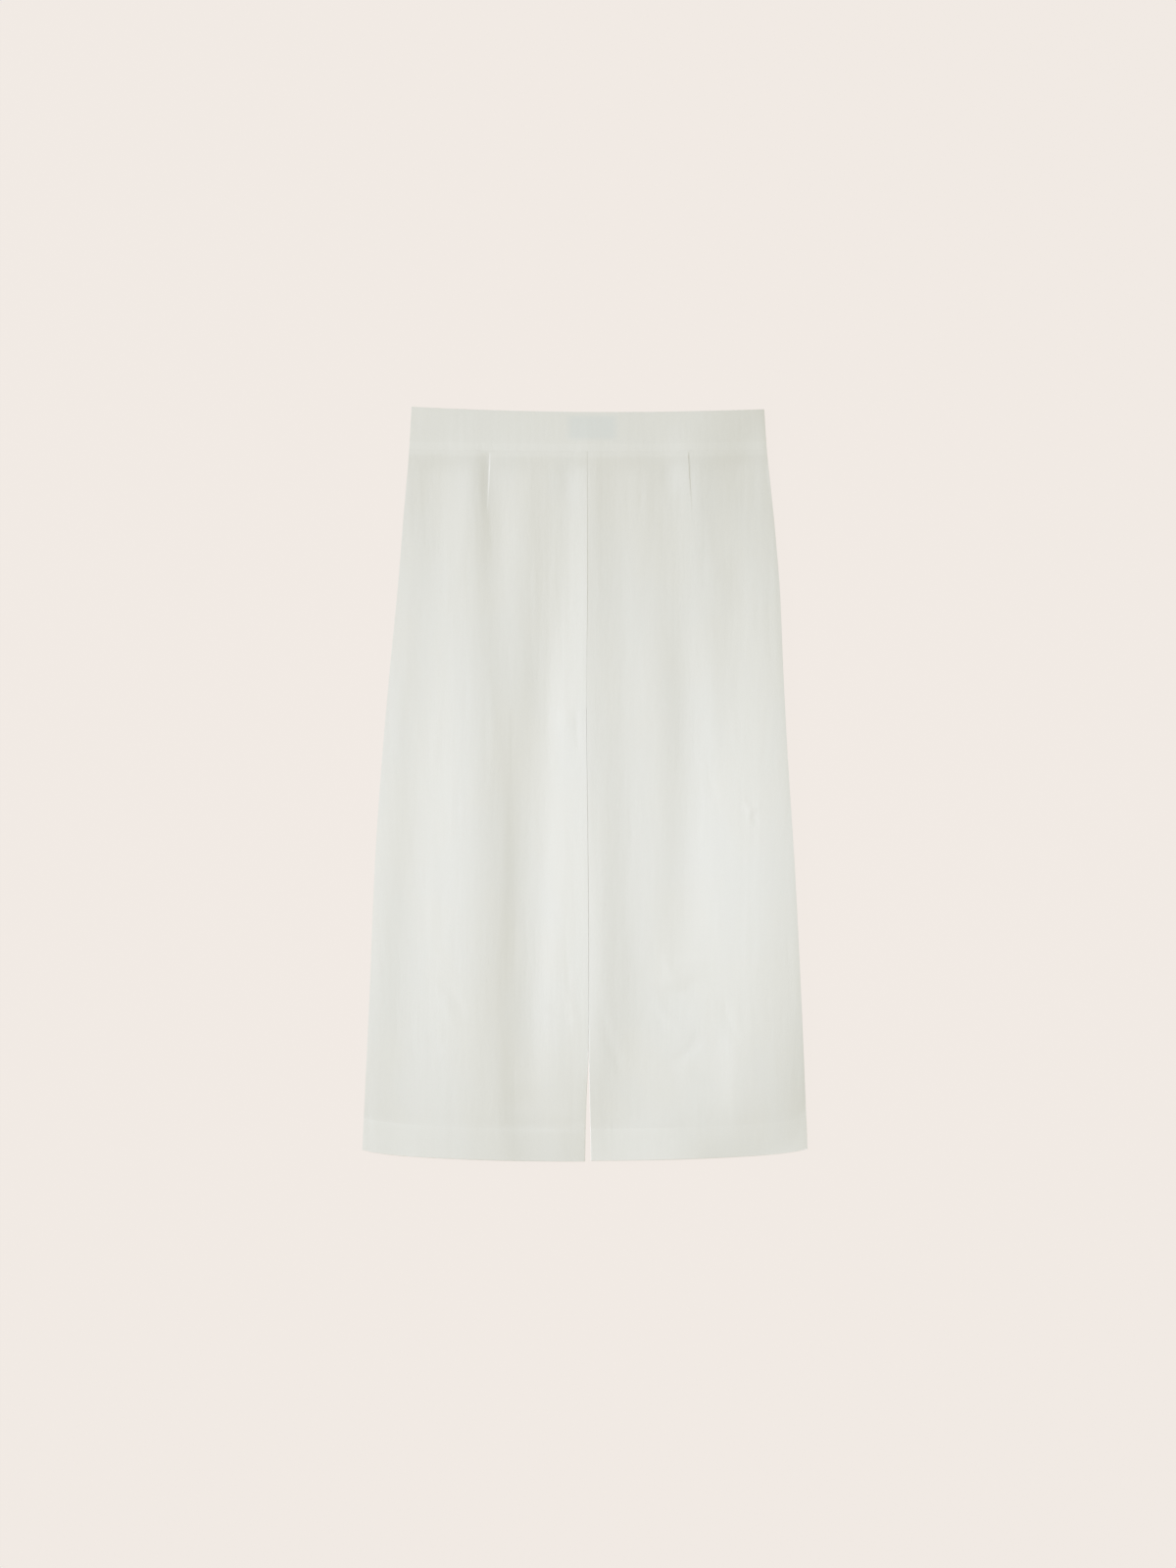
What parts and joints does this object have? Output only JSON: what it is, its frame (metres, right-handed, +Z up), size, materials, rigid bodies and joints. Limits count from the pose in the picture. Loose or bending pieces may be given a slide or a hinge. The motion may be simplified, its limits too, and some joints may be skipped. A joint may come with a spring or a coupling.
{
  "type": "culottes laid flat",
  "caption": "Plain wide-legged culottes lying flat, front up: a folded waistband, front darts, a centre seam, straight flared legs and turned-up hems, all in matte ivory cloth.",
  "frame": {"origin": "middle of the laid-out outline, on the surface that the garment lies on", "axes": "+Z up from the surface, +Y towards the waist, +X towards the wearer's left"},
  "size_m": [0.463, 0.7848, 0.0062],
  "materials": {
    "front_cloth": "matte ivory crepe",
    "back_cloth": "matte ivory crepe",
    "front_band_cloth": "matte ivory crepe over interlining",
    "back_band_cloth": "matte ivory crepe over interlining",
    "label_tape": "blank woven tape, white"
  },
  "bodies": {
    "root": {"right_front_leg": "front_cloth", "left_front_leg": "front_cloth", "right_back_leg": "back_cloth", "left_back_leg": "back_cloth", "front_waistband": "front_band_cloth", "back_waistband": "back_band_cloth", "waistband_label": "label_tape"}
  },
  "joints": []
}
